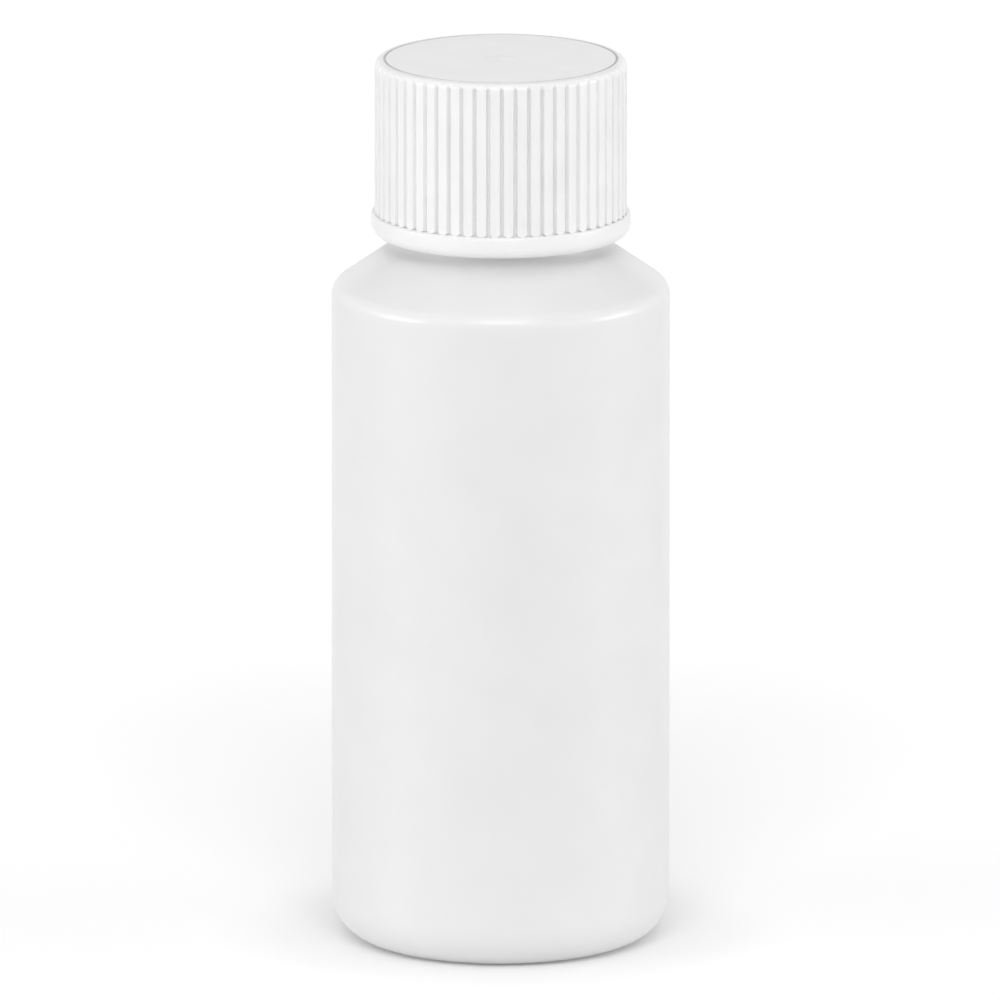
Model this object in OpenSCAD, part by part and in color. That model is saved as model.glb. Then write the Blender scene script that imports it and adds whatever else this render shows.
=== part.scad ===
// Round plastic bottle with a conical shoulder, a threaded neck and a ribbed screw cap.
// Millimetres, +Z up, origin on the table under the middle of the base.

/* [Body] */
// Outside diameter of the body
body_d = 40; // [36:0.5:48]
// Height of the sharp corner where the wall and the shoulder would meet
shoulder_z = 78.8; // [60:0.2:100]
// Thickness of the wall and the shoulder
wall = 1; // [0.7:0.05:1.3]
// Thickness of the base
base_t = 1.3; // [0.9:0.1:2]
// Radius between the base and the wall
heel_r = 5.3; // [3:0.1:6]
// Radius between the wall and the shoulder
shoulder_r = 2; // [1.6:0.1:4]
// Slope of the shoulder above the horizontal, in degrees
shoulder_slope = 35; // [30:0.5:42]
// Width of the flat ring that the bottle stands on
foot_w = 1.5; // [1:0.1:3]
// Depth of the hollow under the base
push_up = 2; // [1:0.1:3]

/* [Neck] */
// Outside diameter of the neck wall
neck_d = 24.9; // [24:0.1:25.4]
// Diameter of the bore through the neck
neck_bore_d = 21; // [18:0.1:22]
// Height of the neck from its root to its rim
neck_h = 19.6; // [18:0.1:24]
// Radius between the shoulder and the neck
root_r = 2; // [0.4:0.1:2.4]
// Radius on the rim's outer edge
rim_r = 0.4; // [0.2:0.1:0.6]

/* [Thread] */
// Height of a thread from the wall that carries it to its crest
thread_h = 1.05; // [0.8:0.05:1.2]
// Rise of the thread in one turn
pitch = 4.233; // [3.8:0.1:4.6]
// Turns of the neck's thread
neck_turns = 1.5; // [1.2:0.1:1.8]
// Turns of the cap's thread
cap_turns = 1.5; // [1.2:0.1:1.8]
// Width of a thread at its foot
thread_foot_w = 2; // [1.6:0.1:2.2]
// Width of a thread at its crest
thread_crest_w = 0.9; // [0.6:0.1:1.2]
// Distance from the neck's rim to the middle of its thread's upper end
thread_drop = 2; // [1.6:0.1:3]

/* [Cap] */
// Thickness of the cap's top
cap_top_t = 1.4; // [1:0.1:2]
// Thickness of the skirt from its inner wall to the crests of the ribs
skirt_t = 1.15; // [0.9:0.05:1.5]
// Number of grooves between the ribs
groove_count = 58; // [40:1:72]
// Angle of the first groove, in degrees
groove_start = -89.5; // [-90:0.5:90]
// Width of a groove at its mouth
groove_w = 0.6; // [0.4:0.05:0.8]
// Width of a groove at its floor
groove_floor_w = 0.15; // [0.1:0.05:0.35]
// Depth of a groove
groove_depth = 0.5; // [0.2:0.05:0.55]
// Radius on the cap's upper edge
cap_edge_r = 0.9; // [0.8:0.1:1.6]
// Depth of the flat top inside its edge
dish_depth = 0.15; // [0.1:0.05:0.3]
// Height of the plain band at the cap's foot
band_h = 2.6; // [2.2:0.1:4]
// Distance that the band stands out from the ribs
band_proud = 0.45; // [0.2:0.05:0.8]
// Radius on the band's lower edge
band_foot_r = 1.2; // [0.5:0.1:1.2]
// Radius on the band's upper edge
band_top_r = 0.3; // [0.1:0.05:0.4]
// Width of the shallow gate mark in the middle of the cap
gate_d = 4.8; // [3:0.1:7]
// Depth of the gate mark
gate_depth = 0.1; // [0.1:0.05:0.4]

/* [Liner] */
// Thickness of the foam liner
liner_t = 1; // [0.6:0.1:1.6]

/* [Fits] */
// Radial gap between a thread's crest and the wall that faces it
thread_gap = 0.25; // [0.15:0.05:0.35]
// Gap between the thread flanks that face each other when the cap is tight
flank_gap = 0.15; // [0.1:0.05:0.25]
// Radial gap between the liner and the cap
liner_gap = 0.15; // [0.1:0.05:0.3]
// Height of the cap's foot above the neck's root
skirt_gap = 1; // [0.8:0.1:3]

/* [Hidden] */
$fn = 96;

bottle_colour = [0.92, 0.92, 0.92];
cap_colour = [0.95, 0.95, 0.95];
liner_colour = [0.98, 0.97, 0.93];

// Straight steps in one rounded corner of an outline
arc_steps = 10;
// Straight steps in one turn of a thread
turn_steps = 36;
// Angle over which a thread grows to its full height at each end
thread_fade = 30;
// Depth that a thread is rooted in the wall that carries it
thread_bite = 0.4;
// Share of its height that a thread's end lies below the wall's surface
thread_sink = 0.1;
// How far a cut runs past the surface that it opens
overcut = 1;

body_r = body_d / 2;
neck_r = neck_d / 2;
bore_r = neck_bore_d / 2;
root_z = shoulder_z + (body_r - neck_r) * tan(shoulder_slope);
rim_z = root_z + neck_h;

// The wall and the shoulder turn through this angle where they meet
shoulder_turn = 90 - shoulder_slope;
inner_r = body_r - wall;
inner_shoulder_z = shoulder_z - wall * tan(shoulder_turn / 2);
bore_foot_z = inner_shoulder_z + (inner_r - bore_r) * tan(shoulder_slope);
foot_r = body_r - heel_r;
hollow_r = foot_r - foot_w;

crest_r = neck_r + thread_h;
skirt_in_r = crest_r + thread_gap;
cap_crest_r = neck_r + thread_gap;
rib_r = skirt_in_r + skirt_t;
band_r = rib_r + band_proud;
dish_r = rib_r - cap_edge_r - dish_depth;
cap_roof_z = rim_z + liner_t;
cap_top_z = cap_roof_z + cap_top_t;
cap_foot_z = root_z + skirt_gap;
band_top_z = cap_foot_z + band_h;

neck_thread_z = rim_z - thread_drop - neck_turns * pitch;
flank_lean = (thread_foot_w - thread_crest_w) / 2 / (thread_h + thread_bite);
cap_thread_z = neck_thread_z - (thread_foot_w + thread_crest_w) / 2
    + flank_lean * (thread_bite + thread_gap) - flank_gap;

// Points along an arc of this radius, from angle a to angle b
function arc(centre, radius, a, b) = [
    for (i = [0:arc_steps])
        let (t = a + (b - a) * i / arc_steps)
        centre + radius * [cos(t), sin(t)]
];

// The rounded corner between a vertical wall at r and a cone that leans in from height z
function shoulder_arc(r, z, radius, a, b) =
    arc([r - radius, z - radius * tan(shoulder_turn / 2)], radius, a, b);

// A shallow dome between its edge at [r, z] and its top on the axis
function dome_radius(r, rise) = (r * r + rise * rise) / (2 * rise);
function dome(r, z, rise, a, b) =
    let (radius = dome_radius(r, rise))
    let (half = asin(r / radius))
    arc([0, z + rise - radius], radius, 90 - half * a, 90 - half * b);

// From the middle of the base, out round the heel and up to the rim
bottle_outside = concat(
    dome(hollow_r, 0, push_up, 0, 1),
    arc([foot_r, heel_r], heel_r, -90, 0),
    shoulder_arc(body_r, shoulder_z, shoulder_r, 0, shoulder_turn),
    arc([neck_r + root_r, root_z + root_r * tan(shoulder_turn / 2)], root_r, 270 - shoulder_slope, 180),
    arc([neck_r - rim_r, rim_z - rim_r], rim_r, 0, 90)
);

// From the rim, down the bore and the inside of the wall to the middle of the floor
bottle_inside = concat(
    [[bore_r, rim_z], [bore_r, bore_foot_z]],
    shoulder_arc(inner_r, inner_shoulder_z, shoulder_r - wall, shoulder_turn, 0),
    arc([foot_r, base_t + heel_r - wall], heel_r - wall, 0, -90),
    dome(hollow_r, base_t, push_up, 1, 0)
);

// From the gate mark, out over the upper edge and down to the cap's foot
cap_outside = concat(
    [
        [0, cap_top_z - dish_depth - gate_depth],
        [gate_d / 2 - gate_depth, cap_top_z - dish_depth - gate_depth],
        [gate_d / 2, cap_top_z - dish_depth],
        [dish_r, cap_top_z - dish_depth],
        [dish_r + dish_depth, cap_top_z]
    ],
    arc([rib_r - cap_edge_r, cap_top_z - cap_edge_r], cap_edge_r, 90, 0),
    [[rib_r, band_top_z]],
    arc([band_r - band_top_r, band_top_z - band_top_r], band_top_r, 90, 0),
    arc([band_r - band_foot_r, cap_foot_z + band_foot_r], band_foot_r, 0, -90)
);
cap_inside = [[skirt_in_r, cap_foot_z], [skirt_in_r, cap_roof_z], [0, cap_roof_z]];

// A helical ridge from angle 0 and height z, rooted below the surface at root_r, with its crest at tip_r
module thread(surface_r, tip_r, turns, z) {
    side = sign(tip_r - surface_r);
    steps = ceil(turns * turn_steps);
    sweep = turns * 360;
    points = [
        for (i = [0:steps])
            let (angle = sweep * i / steps)
            let (grown = min(1, angle / thread_fade, (sweep - angle) / thread_fade))
            let (tip = surface_r + (tip_r - surface_r) * (grown * (1 + thread_sink) - thread_sink))
            let (foot = surface_r - side * thread_bite)
            let (rise = z + pitch * angle / 360)
            for (p = [
                [foot, -thread_foot_w / 2],
                [tip, -thread_crest_w / 2],
                [tip, thread_crest_w / 2],
                [foot, thread_foot_w / 2]
            ])
                [p[0] * cos(angle), p[0] * sin(angle), rise + p[1]]
    ];
    // Corner k of section i, and the two triangles between it and the next section
    sides = [
        for (i = [0:steps - 1], k = [0:3])
            let (a = 4 * i + k)
            let (b = 4 * i + (k + 1) % 4)
            for (face = [[a, b, b + 4], [a, b + 4, a + 4]])
                side > 0 ? face : [face[2], face[1], face[0]]
    ];
    last = 4 * steps;
    ends = [[3, 2, 1, 0], [last, last + 1, last + 2, last + 3]];
    polyhedron(points, concat(sides, [for (face = ends) side > 0 ? face : [for (k = [3:-1:0]) face[k]]]));
}

module grooves() {
    for (i = [0:groove_count - 1])
        rotate([0, 0, groove_start + 360 * i / groove_count])
            translate([0, 0, band_top_z])
                linear_extrude(height = cap_top_z - band_top_z + overcut)
                    polygon([
                        [rib_r - groove_depth, -groove_floor_w / 2],
                        [rib_r, -groove_w / 2],
                        [rib_r + overcut, -groove_w / 2],
                        [rib_r + overcut, groove_w / 2],
                        [rib_r, groove_w / 2],
                        [rib_r - groove_depth, groove_floor_w / 2]
                    ]);
}

module bottle() {
    color(bottle_colour) {
        rotate_extrude() polygon(concat(bottle_outside, bottle_inside));
        thread(neck_r, crest_r, neck_turns, neck_thread_z);
    }
}

module cap() {
    color(cap_colour) {
        difference() {
            rotate_extrude() polygon(concat(cap_outside, cap_inside));
            grooves();
        }
        thread(skirt_in_r, cap_crest_r, cap_turns, cap_thread_z);
    }
}

module liner() {
    color(liner_colour)
        translate([0, 0, rim_z])
            cylinder(r = skirt_in_r - liner_gap, h = liner_t);
}

bottle();
cap();
liner();
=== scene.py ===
"""Looks, light and camera for a white pharmacy bottle with a ribbed screw cap."""

import math

import bpy
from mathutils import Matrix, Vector


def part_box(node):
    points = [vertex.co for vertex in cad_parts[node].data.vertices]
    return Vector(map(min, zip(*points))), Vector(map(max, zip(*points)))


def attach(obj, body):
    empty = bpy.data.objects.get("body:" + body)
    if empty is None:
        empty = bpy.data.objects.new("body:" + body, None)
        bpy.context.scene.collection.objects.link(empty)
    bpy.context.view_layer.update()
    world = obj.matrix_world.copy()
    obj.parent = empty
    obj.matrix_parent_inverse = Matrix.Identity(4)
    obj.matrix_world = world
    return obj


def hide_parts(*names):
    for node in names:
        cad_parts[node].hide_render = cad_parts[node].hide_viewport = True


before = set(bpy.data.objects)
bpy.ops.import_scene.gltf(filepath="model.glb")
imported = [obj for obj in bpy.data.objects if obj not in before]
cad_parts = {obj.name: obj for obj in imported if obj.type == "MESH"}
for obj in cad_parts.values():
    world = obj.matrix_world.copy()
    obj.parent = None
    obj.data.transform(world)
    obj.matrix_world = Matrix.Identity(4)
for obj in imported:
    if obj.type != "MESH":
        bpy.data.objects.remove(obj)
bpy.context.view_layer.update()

MM = 0.001


# Sizes of the bottle and its cap, in millimetres

BOTTLE_LOW, BOTTLE_HIGH = (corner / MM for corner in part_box("bottle"))
CAP_LOW, CAP_HIGH = (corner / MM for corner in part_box("cap"))
LINER_LOW, LINER_HIGH = (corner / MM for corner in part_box("liner"))

BODY_R = BOTTLE_HIGH.x
RIM_Z = BOTTLE_HIGH.z
BAND_R = CAP_HIGH.x
CAP_FOOT_Z = CAP_LOW.z
CAP_TOP_Z = CAP_HIGH.z
LINER_R = LINER_HIGH.x

SHOULDER_Z = 78.8
SHOULDER_SLOPE = math.radians(35)
SHOULDER_ROUND = 2.0
HEEL_ROUND = 5.3
FOOT_W = 1.5
PUSH_UP = 2.0
WALL = 1.0
BASE_T = 1.3
NECK_R = 12.45
NECK_ROOT_ROUND = 2.0
BORE_R = 10.5
# Height above the neck's root where its straight wall begins
NECK_FOOT_H = 2.5
RIM_OUTER_ROUND = 0.4
RIM_INNER_ROUND = 0.25
BORE_FOOT_ROUND = 1.5
INNER_SHOULDER_ROUND = 1.0

PITCH = 4.233
THREAD_H = 1.05
THREAD_SWEEP = 540.0
THREAD_FADE = 30.0
THREAD_HALF_W = 0.848
THREAD_FLANK_W = 0.398
THREAD_SINK = 0.1
THREAD_DROP = 2.0
THREAD_STEP = 0.1
NECK_THREAD_Z = RIM_Z - THREAD_DROP - PITCH * THREAD_SWEEP / 360
# How far the cap's thread lies below the neck's, flank on flank
THREAD_STAGGER = 1.353
CAP_THREAD_Z = NECK_THREAD_Z - THREAD_STAGGER
# Plain height kept below and above each thread's middle line
THREAD_MARGIN = 1

RIB_R = 14.9
RIB_COUNT = 58
FIRST_GROOVE = math.radians(-89.5)
GROOVE_HALF_W = 0.21
GROOVE_FLOOR_HALF_W = 0.05
GROOVE_DEPTH = 0.6
BAND_H = 2.6
BAND_TOP_ROUND = 0.3
BAND_FOOT_ROUND = 1.2
CAP_EDGE_ROUND = 0.9
SKIRT_IN_R = 13.75
DISH_R = 13.85
DISH_DEPTH = 0.15
CAP_ROOF_Z = LINER_HIGH.z
GATE_R = 2.4
GATE_DEPTH = 0.1


# Outlines in the plane through the axis, as (radius, height) in millimetres

def rounded(corners, step):
    """An outline through corners (radius, height, round, steps), with no straight run over one step."""
    points = []
    for i, (r, z, size, steps) in enumerate(corners):
        corner = Vector((r, z))
        if size == 0:
            points.append(corner)
            continue
        back = (Vector(corners[i - 1][:2]) - corner).normalized()
        ahead = (Vector(corners[i + 1][:2]) - corner).normalized()
        half = back.angle(ahead) / 2
        centre = corner + (back + ahead).normalized() * size / math.sin(half)
        start = corner + back * size / math.tan(half) - centre
        end = corner + ahead * size / math.tan(half) - centre
        turn = math.pi - 2 * half
        for k in range(steps + 1):
            share = k / steps
            points.append(centre + (start * math.sin((1 - share) * turn) + end * math.sin(share * turn))
                          / math.sin(turn))
    dense = [points[0]]
    for point in points[1:]:
        run = point - dense[-1]
        parts = max(1, math.ceil(run.length / step))
        first = dense[-1].copy()
        dense += [first + run * (k / parts) for k in range(1, parts + 1)]
    return [(p.x, p.y) for p in dense]


def dome(edge_r, edge_z, rise, steps):
    """A shallow dome from the axis out to its edge."""
    radius = (edge_r ** 2 + rise ** 2) / (2 * rise)
    radii = [edge_r * k / steps for k in range(steps + 1)]
    return [(r, edge_z + rise - radius + math.sqrt(radius ** 2 - r ** 2)) for r in radii]


def thread_height(angle, z, start_z):
    """Height of a helical thread above the wall that carries it, at one angle in degrees and height."""
    height = 0.0
    for turned in (angle % 360, angle % 360 + 360):
        if turned > THREAD_SWEEP:
            continue
        grown = min(1, turned / THREAD_FADE, (THREAD_SWEEP - turned) / THREAD_FADE)
        full = THREAD_H * (grown * (1 + THREAD_SINK) - THREAD_SINK)
        off = abs(z - start_z - PITCH * turned / 360)
        share = min(1, max(0, (THREAD_HALF_W - off) / THREAD_FLANK_W))
        height = max(height, full * share * share * (3 - 2 * share))
    return height


# Meshes

def ring(angles, radii, heights):
    """Points round the axis, in metres."""
    return [(r * math.cos(a) * MM, r * math.sin(a) * MM, z * MM)
            for a, r, z in zip(angles, radii, heights)]


def even(angles, r, z):
    """A plain round ring."""
    return ring(angles, [r] * len(angles), [z] * len(angles))


def skin(name, rings, material, body, nodes=(), sharp=40, inlay=None, flip=False):
    """One smooth mesh over rings of points. A ring may have a whole share of its neighbour's points.
    An inlay is a second material with the first and last of the rings that it lies between.
    Flip turns the faces over, for rings that run the other way round."""
    points = [p for one in rings for p in one]
    firsts = [0]
    for one in rings:
        firsts.append(firsts[-1] + len(one))
    faces = []
    inlaid = []
    for i in range(len(rings) - 1):
        a, b, m, n = firsts[i], firsts[i + 1], len(rings[i]), len(rings[i + 1])
        count = min(m, n) if min(m, n) > 1 else max(m, n)
        up = m // count if m > 1 else 0
        down = n // count if n > 1 else 0
        for k in range(count):
            low = [a + (k * up + j) % m for j in range(up + 1)] if up else [a]
            high = [b + (k * down + j) % n for j in range(down + 1)] if down else [b]
            face = low + high[::-1]
            faces.append(face[::-1] if flip else face)
            if inlay and inlay[1] <= i < inlay[2]:
                inlaid.append(len(faces) - 1)
    mesh = bpy.data.meshes.new(name)
    mesh.from_pydata(points, [], faces)
    mesh.validate()
    mesh.shade_smooth()
    mesh.set_sharp_from_angle(angle=math.radians(sharp))
    mesh.materials.append(material)
    if inlay:
        mesh.materials.append(inlay[0])
    for face in inlaid:
        mesh.polygons[face].material_index = 1
    piece = bpy.data.objects.new(name, mesh)
    bpy.context.scene.collection.objects.link(piece)
    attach(piece, body)
    if nodes:
        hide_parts(*nodes)
    return piece


# Materials

def linear(code):
    """An sRGB hex colour as the linear colour that the shaders take."""
    shares = [int(code[i:i + 2], 16) / 255 for i in (1, 3, 5)]
    return tuple(s / 12.92 if s <= 0.04045 else ((s + 0.055) / 1.055) ** 2.4 for s in shares) + (1.0,)


def node(tree, kind, settings=None, values=None, links=None):
    """Add one node with its settings, the values of its inputs, and the outputs that feed its inputs."""
    made = tree.nodes.new(kind)
    for key, value in (settings or {}).items():
        setattr(made, key, value)
    for key, value in (values or {}).items():
        made.inputs[key].default_value = value
    for key, output in (links or {}).items():
        tree.links.new(output, made.inputs[key])
    return made


ROUGH_SWING = 0.03


def moulded_plastic(name, tone, shade, rough, ior, mottle_mm, mottle_depth_mm, tone_mm,
                    scatter_mm, scatter):
    """A moulded plastic: a soft change of tone over tone_mm and a fine uneven skin of mottle_mm."""
    material = bpy.data.materials.new(name)
    material.use_nodes = True
    tree = material.node_tree
    tree.nodes.clear()
    place = node(tree, "ShaderNodeTexCoord")
    patches = node(tree, "ShaderNodeTexNoise", {},
                   {"Scale": 1 / (tone_mm * MM), "Detail": 2.0, "Roughness": 0.5},
                   {"Vector": place.outputs["Object"]})
    colour = node(tree, "ShaderNodeValToRGB", {}, {}, {"Fac": patches.outputs["Fac"]})
    colour.color_ramp.elements[0].position = 0.3
    colour.color_ramp.elements[0].color = linear(shade)
    colour.color_ramp.elements[1].position = 0.7
    colour.color_ramp.elements[1].color = linear(tone)
    skin_noise = node(tree, "ShaderNodeTexNoise", {},
                      {"Scale": 1 / (mottle_mm * MM), "Detail": 3.0, "Roughness": 0.55},
                      {"Vector": place.outputs["Object"]})
    gloss = node(tree, "ShaderNodeMapRange", {},
                 {"To Min": rough - ROUGH_SWING, "To Max": rough + ROUGH_SWING},
                 {"Value": skin_noise.outputs["Fac"]})
    bump = node(tree, "ShaderNodeBump", {}, {"Strength": 1.0, "Distance": mottle_depth_mm * MM},
                {"Height": skin_noise.outputs["Fac"]})
    shader = node(tree, "ShaderNodeBsdfPrincipled", {},
                  {"IOR": ior, "Subsurface Weight": scatter, "Subsurface Radius": (1.0, 1.0, 1.0),
                   "Subsurface Scale": scatter_mm * MM},
                  {"Base Color": colour.outputs["Color"], "Roughness": gloss.outputs["Result"],
                   "Normal": bump.outputs["Normal"]})
    node(tree, "ShaderNodeOutputMaterial", {}, {}, {"Surface": shader.outputs["BSDF"]})
    return material


# High-density polyethylene, blow moulded: milky white, satin, faintly uneven like wax
hdpe = moulded_plastic(
    "hdpe_blow_moulded", tone="#F3F3F3", shade="#F0F0F0", rough=0.30, ior=1.54,
    mottle_mm=0.9, mottle_depth_mm=0.004, tone_mm=9.0,
    scatter_mm=2.0, scatter=0.5,
)
# Polypropylene, injection moulded: a brighter white with a smoother, slightly glossy skin
polypropylene = moulded_plastic(
    "polypropylene_moulded", tone="#F6F6F6", shade="#F3F3F3", rough=0.30, ior=1.49,
    mottle_mm=0.5, mottle_depth_mm=0.002, tone_mm=5.0,
    scatter_mm=0.8, scatter=0.08,
)
# The same polypropylene in the narrow groove round the top, darker and greyer as painted shade, and duller
groove_painted_shade = moulded_plastic(
    "polypropylene_groove_painted_shade", tone="#DADAD8", shade="#D0D0CE", rough=0.55, ior=1.49,
    mottle_mm=0.4, mottle_depth_mm=0.01, tone_mm=1.5,
    scatter_mm=0.8, scatter=0.08,
)
# Closed-cell polyethylene foam, skived: a soft warm white with a fine open grain
foam = moulded_plastic(
    "polyethylene_foam", tone="#F4F1E8", shade="#EDE9DF", rough=0.75, ior=1.5,
    mottle_mm=0.35, mottle_depth_mm=0.05, tone_mm=2.0,
    scatter_mm=0.8, scatter=0.1,
)


# The bottle: blow moulded in one piece with its neck and thread

def around(count):
    """Even angles round the axis."""
    return [2 * math.pi * k / count for k in range(count)]


PARTING_HALF_W = 0.22
PARTING_H = 0.04
WALL_WAVE = 0.008
BOTTLE_COLUMNS = 240


def bottle_angles():
    """Even angles, closer together at the two parting lines that the mould's halves leave."""
    near = [math.radians(d) for d in (0.2, 0.4, 0.65, 0.95)]
    extra = [side + sign * off for side in (0, math.pi) for sign in (1, -1) for off in near]
    return sorted(a % (2 * math.pi) for a in around(BOTTLE_COLUMNS) + extra)


def parting(angle, r):
    """Height of the fine ridge where the mould's halves meet."""
    off = abs(r * math.sin(angle))
    return PARTING_H * max(0, 1 - (off / PARTING_HALF_W) ** 2)


def wall_unevenness(angle, z):
    """The slow waves of a blow-moulded wall, as a depth below the full radius."""
    waves = (math.sin(2 * angle + z / 11.0) + math.sin(3 * angle - z / 7.0 + 1.0)
             + math.sin(z / 5.0 + 2 * math.sin(angle)))
    return WALL_WAVE * (waves / 3 + 1)


root_z = SHOULDER_Z + (BODY_R - NECK_R) * math.tan(SHOULDER_SLOPE)
neck_foot_z = root_z + NECK_FOOT_H
inner_r = BODY_R - WALL
foot_r = BODY_R - HEEL_ROUND
hollow_r = foot_r - FOOT_W
inner_shoulder_z = SHOULDER_Z - WALL * math.tan((math.pi / 2 - SHOULDER_SLOPE) / 2)
bore_foot_z = inner_shoulder_z + (inner_r - BORE_R) * math.tan(SHOULDER_SLOPE)

columns = bottle_angles()
under = dome(hollow_r, 0.0, PUSH_UP, 14)
outside = rounded([
    (hollow_r, 0.0, 0, 0),
    (BODY_R, 0.0, HEEL_ROUND, 16),
    (BODY_R, SHOULDER_Z, SHOULDER_ROUND, 12),
    (NECK_R, root_z, NECK_ROOT_ROUND, 14),
    (NECK_R, neck_foot_z, 0, 0),
], 1.2)
thread_low = NECK_THREAD_Z - THREAD_MARGIN
thread_high = NECK_THREAD_Z + PITCH * THREAD_SWEEP / 360 + THREAD_MARGIN
neck_outside = rounded([(NECK_R, neck_foot_z, 0, 0), (NECK_R, thread_low, 0, 0)], 2.0)[1:]
neck_thread = rounded([(NECK_R, thread_low, 0, 0), (NECK_R, thread_high, 0, 0)], THREAD_STEP)[1:]
neck_rim = rounded([
    (NECK_R, thread_high, 0, 0),
    (NECK_R, RIM_Z, RIM_OUTER_ROUND, 6),
    (BORE_R, RIM_Z, RIM_INNER_ROUND, 4),
    (BORE_R, bore_foot_z, BORE_FOOT_ROUND, 6),
    (inner_r, inner_shoulder_z, INNER_SHOULDER_ROUND, 6),
    (inner_r, BASE_T, HEEL_ROUND - WALL, 10),
    (hollow_r, BASE_T, 0, 0),
], 4.0)[1:]
floor_inside = dome(hollow_r, BASE_T, PUSH_UP, 10)[::-1][1:]

bottle_rings = [[(0, 0, under[0][1] * MM)]]
bottle_rings += [even(columns, r, z) for r, z in under[1:]]
for r, z in outside[1:]:
    on_body = min(1, max(0, (z - 0.5) / 4)) * min(1, max(0, (r - NECK_R) / 2))
    radii = [r + on_body * (parting(a, r) - PARTING_H - wall_unevenness(a, z)) for a in columns]
    bottle_rings.append(ring(columns, radii, [z] * len(columns)))
bottle_rings += [even(columns, r, z) for r, z in neck_outside]
for r, z in neck_thread:
    radii = [r + thread_height(math.degrees(a), z, NECK_THREAD_Z) for a in columns]
    bottle_rings.append(ring(columns, radii, [z] * len(columns)))
bottle_rings += [even(columns, r, z) for r, z in neck_rim]
bottle_rings += [even(columns, r, z) for r, z in floor_inside[:-1]]
bottle_rings.append([(0, 0, floor_inside[-1][1] * MM)])
skin("bottle_body", bottle_rings, hdpe, "bottle", ["bottle"])


# The scar under the base, where the mould pinched off the tube of hot plastic

PINCH_HALF_L = 7.5
PINCH_HALF_W = 0.45
PINCH_H = 0.3
PINCH_SINK = 0.02
PINCH_STEPS = 40
PINCH_SIDES = 8
under_radius = (hollow_r ** 2 + PUSH_UP ** 2) / (2 * PUSH_UP)
pinch_rings = []
for i in range(PINCH_STEPS + 1):
    x = PINCH_HALF_L * (2 * i / PINCH_STEPS - 1)
    share = math.sqrt(max(0.0, 1 - (x / PINCH_HALF_L) ** 8))
    base_z = PUSH_UP - under_radius + math.sqrt(under_radius ** 2 - x ** 2)
    uneven = 1 + 0.12 * math.sin(2.1 * x) + 0.08 * math.sin(5.3 * x + 1)
    if i in (0, PINCH_STEPS):
        pinch_rings.append([(x * MM, 0, (base_z + PINCH_SINK) * MM)])
        continue
    pinch_rings.append([
        (x * MM, PINCH_HALF_W * share * uneven * math.cos(turn) * MM,
         (base_z - PINCH_H * share * uneven * math.sin(turn) + PINCH_SINK) * MM)
        for turn in (2 * math.pi * k / PINCH_SIDES for k in range(PINCH_SIDES))
    ])
skin("bottle_pinch_off", pinch_rings, hdpe, "bottle", flip=True)


# The cap: injection moulded with ribs, a plain band at its foot and a thread inside

RIB_SAMPLES = (0.0, 0.05, 0.10, 0.15, 0.20, 0.27, 0.38, 0.56)
RIB_PITCH = 2 * math.pi * RIB_R / RIB_COUNT
INSIDE_COLUMNS = 4 * RIB_COUNT
GROOVE_LIP_W = 0.06
RIB_CROWN = 0.06
# Each rib ends at the band like a rounded finger
FINGER_ROUND = 0.32
FINGER_H = 0.5
FINGER_STEPS = 12
FOOT_FILLET = 0.1


def rib_columns():
    """Angles of the cap's columns, each with its distance from the middle of its groove."""
    offs = list(RIB_SAMPLES) + [RIB_PITCH / 2] + [RIB_PITCH - s for s in RIB_SAMPLES[:0:-1]]
    return [(FIRST_GROOVE + (i * RIB_PITCH + off) / RIB_R, min(off, RIB_PITCH - off))
            for i in range(RIB_COUNT) for off in offs]


def groove_depth(off, widen):
    """Depth of the skirt below the ribs' crests, at a distance from the middle of a groove."""
    half = GROOVE_HALF_W + widen
    lip = half + GROOVE_LIP_W
    share = min(1, max(0, (lip - off) / (lip - GROOVE_FLOOR_HALF_W - widen)))
    crown = RIB_CROWN
    if off > half:
        crown *= max(0, 1 - (RIB_PITCH / 2 - off) / (RIB_PITCH / 2 - half)) ** 2
    return crown + (GROOVE_DEPTH - crown) * share * share * (3 - 2 * share)


def smooth(x):
    """A soft step from 0 to 1."""
    share = min(1, max(0, x))
    return share * share * (3 - 2 * share)


ribs = rib_columns()
cap_angles = [a for a, off in ribs]
inside_angles = cap_angles[::4]
band_top_z = CAP_FOOT_Z + BAND_H

LIP_H = 0.03
RIM_GROOVE_W = 0.3
RIM_GROOVE_DEPTH = 0.15
GATE_AT = (-0.5, 0.6)
GATE_STUB_R = 0.45
GATE_STUB_H = 0.09
TOP_WAVE = 0.014
TOP_WAVE_R = 12.5
# Grooves begin this far below the flat top, along the edge, and reach full depth over the run-out
GROOVE_START = 0.5
GROOVE_RUN_OUT = 1.3
rim_z = CAP_TOP_Z - LIP_H


def dish_height(x, y):
    """Height of the cap's top inside its rim: hollow and a little uneven, with the gate's mark."""
    r = math.hypot(x, y)
    hollow = (DISH_DEPTH - LIP_H) * (1 - (r / DISH_R) ** 4)
    waves = (math.sin(x / 1.3 + 0.6 * math.sin(y / 1.7)) + math.sin(y / 1.1 + math.sin(x / 2.3) + 2.0)
             + math.sin((x + y) / 2.1 + 1.0))
    recess = (GATE_DEPTH - 0.02) * (1 - smooth((r - GATE_R + 0.7) / 0.7))
    off = math.hypot(x - GATE_AT[0], y - GATE_AT[1])
    stub = GATE_STUB_H * (1 - smooth((off - GATE_STUB_R + 0.2) / 0.3))
    return rim_z - hollow - recess + stub + TOP_WAVE * waves * (1 - smooth(r - TOP_WAVE_R))


def dish_ring(angles, r):
    """A ring of the uneven top."""
    heights = [dish_height(r * math.cos(a), r * math.sin(a)) for a in angles]
    return ring(angles, [r] * len(angles), heights)


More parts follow.
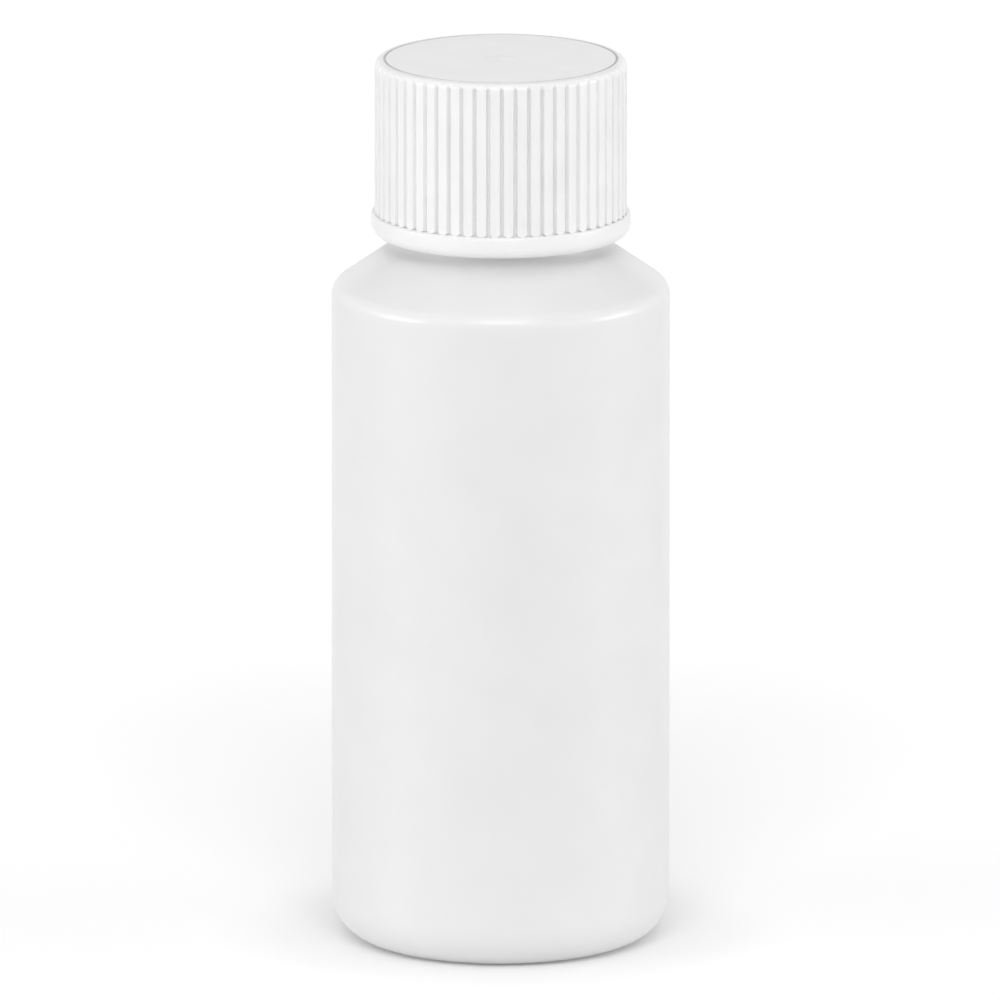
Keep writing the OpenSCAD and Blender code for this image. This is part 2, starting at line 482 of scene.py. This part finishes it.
cap_rings = [[(0, 0, dish_height(0, 0) * MM)]]
dish_radii = [0.15 * k for k in range(1, 20)] + [3.0 + 0.35 * k for k in range(30)]
cap_rings += [dish_ring(inside_angles, r) for r in dish_radii]
groove_first = len(cap_rings) + 1
cap_rings += [even(inside_angles, r, z) for r, z in rounded([
    (DISH_R - RIM_GROOVE_W - 0.1, rim_z, 0, 0),
    (DISH_R - RIM_GROOVE_W, rim_z, 0.03, 2),
    (DISH_R - RIM_GROOVE_W + 0.06, rim_z - RIM_GROOVE_DEPTH, 0.03, 2),
    (DISH_R - 0.06, rim_z - RIM_GROOVE_DEPTH, 0.03, 2),
    (DISH_R - 0.01, rim_z, 0, 0),
], 1.0)]
groove_last = len(cap_rings)
cap_rings += [even(cap_angles, r, z) for r, z in (
    (DISH_R, rim_z), (DISH_R + 0.06, CAP_TOP_Z), (RIB_R - CAP_EDGE_ROUND, CAP_TOP_Z)
)]
edge_centre = Vector((RIB_R - CAP_EDGE_ROUND, CAP_TOP_Z - CAP_EDGE_ROUND))
EDGE_STEPS = 16
for k in range(1, EDGE_STEPS + 1):
    turned = math.pi / 2 * k / EDGE_STEPS
    grown = smooth((turned * CAP_EDGE_ROUND - GROOVE_START) / GROOVE_RUN_OUT)
    outs = [CAP_EDGE_ROUND - grown * groove_depth(off, 0) for a, off in ribs]
    cap_rings.append(ring(cap_angles, [edge_centre.x + out * math.sin(turned) for out in outs],
                          [edge_centre.y + out * math.cos(turned) for out in outs]))
for below in (0.15, 0.4, 1.1):
    grown = smooth((math.pi / 2 * CAP_EDGE_ROUND + below - GROOVE_START) / GROOVE_RUN_OUT)
    cap_rings.append(ring(cap_angles, [RIB_R - grown * groove_depth(off, 0) for a, off in ribs],
                          [edge_centre.y - below] * len(ribs)))
skirt_heights = [CAP_TOP_Z - 2 - 2.2 * k for k in range(1, 7)] + [band_top_z + FINGER_H]
for z in skirt_heights:
    cap_rings.append(ring(cap_angles, [RIB_R - groove_depth(off, 0) for a, off in ribs], [z] * len(ribs)))
for k in range(1, FINGER_STEPS + 1):
    above = FINGER_H * (1 - k / FINGER_STEPS) ** 1.6
    near = max(0, FINGER_ROUND - above)
    widen = FINGER_ROUND - math.sqrt(FINGER_ROUND ** 2 - near ** 2)
    low = max(0, FOOT_FILLET - above)
    fillet = FOOT_FILLET - math.sqrt(FOOT_FILLET ** 2 - low ** 2)
    cap_rings.append(ring(cap_angles, [RIB_R - groove_depth(off, widen) + fillet for a, off in ribs],
                          [band_top_z + above] * len(ribs)))
band = rounded([
    (RIB_R + FOOT_FILLET + 0.02, band_top_z, 0, 0),
    (BAND_R, band_top_z, BAND_TOP_ROUND, 6),
    (BAND_R, CAP_FOOT_Z, BAND_FOOT_ROUND, 12),
    (SKIRT_IN_R + 0.2, CAP_FOOT_Z, 0, 0),
], 1.0)
cap_rings += [even(cap_angles, r, z) for r, z in band]
cap_thread_low = CAP_THREAD_Z - THREAD_MARGIN
cap_thread_high = CAP_THREAD_Z + PITCH * THREAD_SWEEP / 360 + THREAD_MARGIN
cap_rings += [even(inside_angles, r, z) for r, z in rounded([
    (SKIRT_IN_R + 0.15, CAP_FOOT_Z, 0, 0),
    (SKIRT_IN_R, CAP_FOOT_Z + 0.15, 0, 0),
    (SKIRT_IN_R, cap_thread_low, 0, 0),
], 3.0)]
cap_thread = rounded([(SKIRT_IN_R, cap_thread_low, 0, 0), (SKIRT_IN_R, cap_thread_high, 0, 0)], THREAD_STEP)
for r, z in cap_thread[1:]:
    radii = [r - thread_height(math.degrees(a), z, CAP_THREAD_Z) for a in inside_angles]
    cap_rings.append(ring(inside_angles, radii, [z] * len(inside_angles)))
cap_rings += [even(inside_angles, r, z) for r, z in rounded([
    (SKIRT_IN_R, cap_thread_high, 0, 0),
    (SKIRT_IN_R, CAP_ROOF_Z, 0.1, 3),
    (SKIRT_IN_R - 1, CAP_ROOF_Z, 0, 0),
], 3.0)[1:]]
cap_rings.append([(0, 0, CAP_ROOF_Z * MM)])
# The groove round the top takes the polypropylene with painted shade
skin("screw_cap", cap_rings, polypropylene, "cap", ["cap"],
     inlay=(groove_painted_shade, groove_first, groove_last), flip=True)


# The liner: a disc of foam pressed into the top of the cap

LINER_ROUND = 0.15
liner_angles = around(160)
liner_outline = rounded([
    (LINER_R - 2, LINER_LOW.z, 0, 0),
    (LINER_R, LINER_LOW.z, LINER_ROUND, 4),
    (LINER_R, LINER_HIGH.z, LINER_ROUND, 4),
    (LINER_R - 2, LINER_HIGH.z, 0, 0),
], 1.0)
liner_rings = [[(0, 0, LINER_LOW.z * MM)]]
liner_rings += [even(liner_angles, r, z) for r, z in liner_outline]
liner_rings.append([(0, 0, LINER_HIGH.z * MM)])
skin("cap_liner", liner_rings, foam, "liner", ["liner"])


# Camera: a long lens, a little above the bottle

CAMERA_DISTANCE = 3.546
CAMERA_LIFT = math.radians(12.9)
CAMERA_AIM = Vector((-0.00009, 0.0, 0.0527))

camera_data = bpy.data.cameras.new("camera")
camera_data.lens = 1080.0
camera_data.sensor_width = 36.0
camera_data.clip_end = 10.0
camera = bpy.data.objects.new("camera", camera_data)
bpy.context.scene.collection.objects.link(camera)
camera_back = Vector((0, -math.cos(CAMERA_LIFT), math.sin(CAMERA_LIFT)))
camera.location = CAMERA_AIM + camera_back * CAMERA_DISTANCE
camera.rotation_euler = (-camera_back).to_track_quat("-Z", "Y").to_euler()
bpy.context.scene.camera = camera


# Light: softboxes at both sides, in front, behind and overhead, a pale floor and a white studio

LAMP_AIM = Vector((0, 0, 0.05))


def seen_rays(tree):
    """A node that gives 1 for the rays that show a surface to the camera, and 0 for the rays that light."""
    ray = node(tree, "ShaderNodeLightPath")
    either = node(tree, "ShaderNodeMath", {"operation": "MAXIMUM"}, {},
                  {0: ray.outputs["Is Camera Ray"], 1: ray.outputs["Is Glossy Ray"]})
    return node(tree, "ShaderNodeMath", {"operation": "MAXIMUM"}, {},
                {0: either.outputs[0], 1: ray.outputs["Is Transmission Ray"]})


def softbox(name, azimuth, lift, distance, size, power):
    """An area lamp aimed at the bottle. Azimuth is from the camera towards the right, in degrees."""
    data = bpy.data.lights.new(name, "AREA")
    data.shape = "RECTANGLE"
    data.size, data.size_y = size
    data.energy = power
    lamp = bpy.data.objects.new(name, data)
    bpy.context.scene.collection.objects.link(lamp)
    a, e = math.radians(azimuth), math.radians(lift)
    away = Vector((math.sin(a) * math.cos(e), -math.cos(a) * math.cos(e), math.sin(e)))
    lamp.location = LAMP_AIM + away * distance
    lamp.rotation_euler = (-away).to_track_quat("-Z", "Y").to_euler()


softbox("left_softbox", azimuth=-73, lift=7, distance=4.0, size=(2.0, 0.9), power=41)
softbox("right_softbox", azimuth=84, lift=7, distance=4.0, size=(2.0, 0.9), power=40)
softbox("front_softbox", azimuth=0, lift=38, distance=5.0, size=(3.0, 2.0), power=87)
softbox("rear_softbox", azimuth=180, lift=14, distance=4.0, size=(4.8, 1.2), power=3)
softbox("overhead_softbox", azimuth=0, lift=80, distance=4.0, size=(3.2, 3.2), power=20)

floor_mesh = bpy.data.meshes.new("floor")
FLOOR_HALF = 3.0
# Glow of the floor in what the camera sees: least close round the base, as a painted contact shadow, more
# near it, most far away
FLOOR_LIFT_PAINTED_SHADOW = 0.14
FLOOR_LIFT = 0.27
FLOOR_LIFT_FAR = 0.40
PAINTED_SHADOW_START = 0.017
PAINTED_SHADOW_END = 0.036
FAR_START = 0.02
FAR_END = 0.3
corners = [(x * FLOOR_HALF, y * FLOOR_HALF, 0) for x, y in ((-1, -1), (1, -1), (1, 1), (-1, 1))]
floor_mesh.from_pydata(corners, [], [(0, 1, 2, 3)])
floor = bpy.data.objects.new("floor", floor_mesh)
bpy.context.scene.collection.objects.link(floor)

floor_paint = bpy.data.materials.new("matt_white_paint")
floor_paint.use_nodes = True
tree = floor_paint.node_tree
tree.nodes.clear()
seen = seen_rays(tree)
place = node(tree, "ShaderNodeTexCoord")
away = node(tree, "ShaderNodeVectorMath", {"operation": "LENGTH"}, {}, {0: place.outputs["Object"]})
# Painted contact shadow: the floor's glow falls off close round the base
near = node(tree, "ShaderNodeMapRange", {"interpolation_type": "SMOOTHSTEP"},
            {"From Min": PAINTED_SHADOW_START, "From Max": PAINTED_SHADOW_END,
             "To Min": FLOOR_LIFT_PAINTED_SHADOW, "To Max": FLOOR_LIFT},
            {"Value": away.outputs["Value"]})
far = node(tree, "ShaderNodeMapRange", {"interpolation_type": "SMOOTHSTEP"},
           {"From Min": FAR_START, "From Max": FAR_END,
            "To Min": 0.0, "To Max": FLOOR_LIFT_FAR - FLOOR_LIFT},
           {"Value": away.outputs["Value"]})
spread = node(tree, "ShaderNodeMath", {"operation": "ADD"}, {},
              {0: near.outputs["Result"], 1: far.outputs["Result"]})
lift = node(tree, "ShaderNodeMath", {"operation": "MULTIPLY"}, {},
            {0: seen.outputs[0], 1: spread.outputs[0]})
matt = node(tree, "ShaderNodeBsdfDiffuse", {}, {"Color": linear("#F0F0F0")})
glow = node(tree, "ShaderNodeEmission", {}, {"Color": (1, 1, 1, 1)}, {"Strength": lift.outputs[0]})
both = node(tree, "ShaderNodeAddShader", {}, {}, {0: matt.outputs[0], 1: glow.outputs[0]})
node(tree, "ShaderNodeOutputMaterial", {}, {}, {"Surface": both.outputs[0]})
floor_mesh.materials.append(floor_paint)

# The world's even fill, and the white glow near the horizon that only the seen rays get
WORLD_FILL = 0.45
BACKDROP_GLOW = 0.55
BACKDROP_TOP = 0.30
BACKDROP_FADE = 0.12
world = bpy.data.worlds.new("studio")
world.use_nodes = True
bpy.context.scene.world = world
tree = world.node_tree
tree.nodes.clear()
seen = seen_rays(tree)
away = node(tree, "ShaderNodeTexCoord")
parts = node(tree, "ShaderNodeSeparateXYZ", {}, {}, {"Vector": away.outputs["Generated"]})
low = node(tree, "ShaderNodeMapRange", {"interpolation_type": "SMOOTHSTEP"},
           {"From Min": BACKDROP_TOP, "From Max": BACKDROP_TOP + BACKDROP_FADE,
            "To Min": BACKDROP_GLOW, "To Max": 0.0},
           {"Value": parts.outputs["Z"]})
glow = node(tree, "ShaderNodeMath", {"operation": "MULTIPLY"}, {},
            {0: low.outputs["Result"], 1: seen.outputs[0]})
total = node(tree, "ShaderNodeMath", {"operation": "ADD"}, {1: WORLD_FILL}, {0: glow.outputs[0]})
sky = node(tree, "ShaderNodeBackground", {}, {"Color": (1, 1, 1, 1)}, {"Strength": total.outputs[0]})
node(tree, "ShaderNodeOutputWorld", {}, {}, {"Surface": sky.outputs[0]})

bpy.context.scene.view_settings.view_transform = "Standard"
